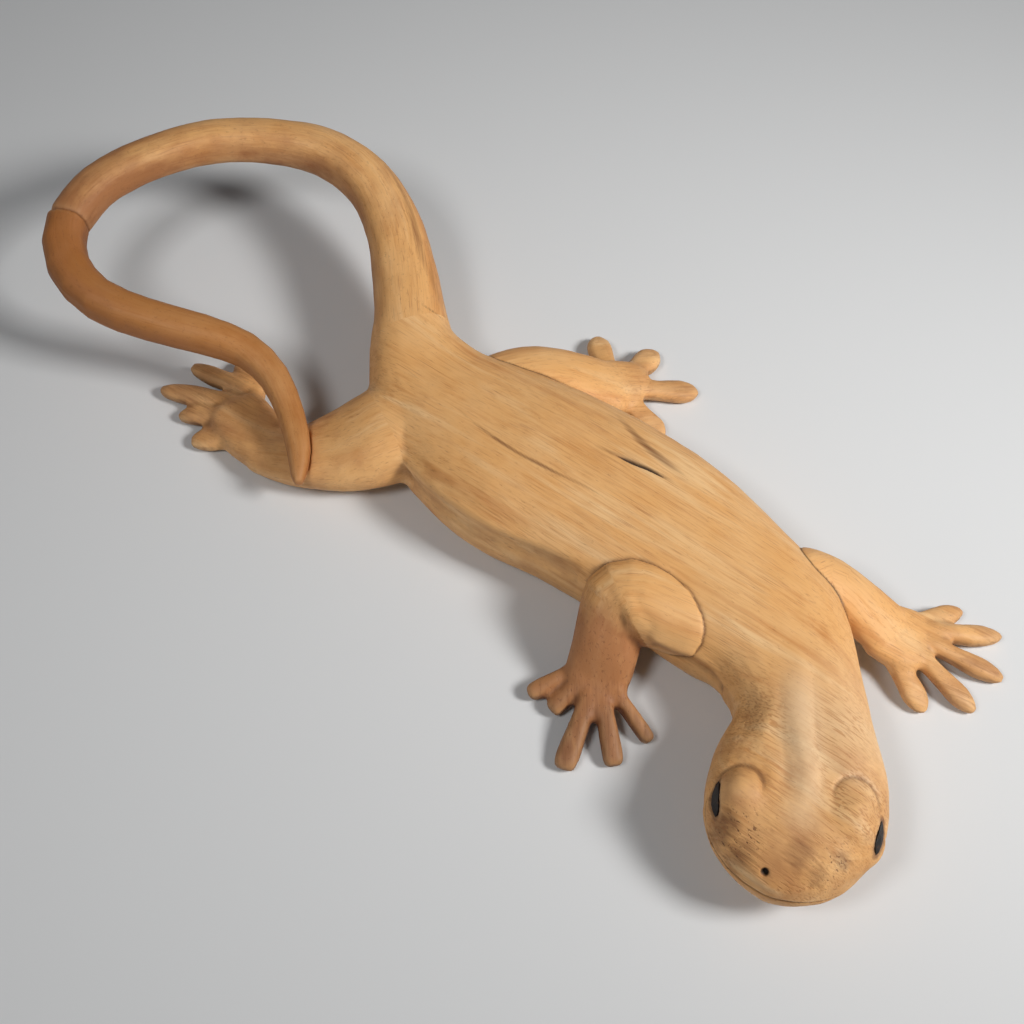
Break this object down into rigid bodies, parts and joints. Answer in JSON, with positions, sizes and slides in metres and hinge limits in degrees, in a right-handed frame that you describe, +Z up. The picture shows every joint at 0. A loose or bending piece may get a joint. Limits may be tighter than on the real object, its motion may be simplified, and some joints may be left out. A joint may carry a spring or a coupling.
{
  "type": "carved wooden lizard figure",
  "caption": "Carved bare-wood lizard figure for display, lying on a flat belly with splayed toes, let-in legs, inlaid eyes and a long tail arched round in a loop back to a hind foot.",
  "frame": {"origin": "middle of the figure's plan box, on the floor it stands on", "axes": "+Z up, -Y the way the animal faces (its snout), +X the animal's left side"},
  "size_m": [0.3238, 0.5892, 0.0949],
  "materials": {
    "pale_wood": "sanded bare pale wood with a straight open grain, knife and rasp marks and a few fine pits",
    "amber_wood": "sanded bare wood with an amber-brown heartwood tone",
    "eye_inlay": "dark smooth inlay set flush in the head",
    "dowel_wood": "plain turned hardwood rod, glued"
  },
  "bodies": {
    "root": {"trunk": "pale_wood", "left_front_leg": "pale_wood", "right_front_leg": "pale_wood", "left_hind_leg": "pale_wood", "right_hind_leg": "pale_wood", "tail_base": "pale_wood", "tail_end": "amber_wood", "left_eye": "eye_inlay", "right_eye": "eye_inlay", "left_front_dowel_1": "dowel_wood", "left_front_dowel_2": "dowel_wood", "right_front_dowel_1": "dowel_wood", "right_front_dowel_2": "dowel_wood", "left_hind_dowel_1": "dowel_wood", "left_hind_dowel_2": "dowel_wood", "right_hind_dowel_1": "dowel_wood", "right_hind_dowel_2": "dowel_wood", "tail_dowel_1": "dowel_wood", "tail_dowel_2": "dowel_wood", "splice_dowel": "dowel_wood", "tail_tip_pin": "dowel_wood"}
  },
  "joints": []
}
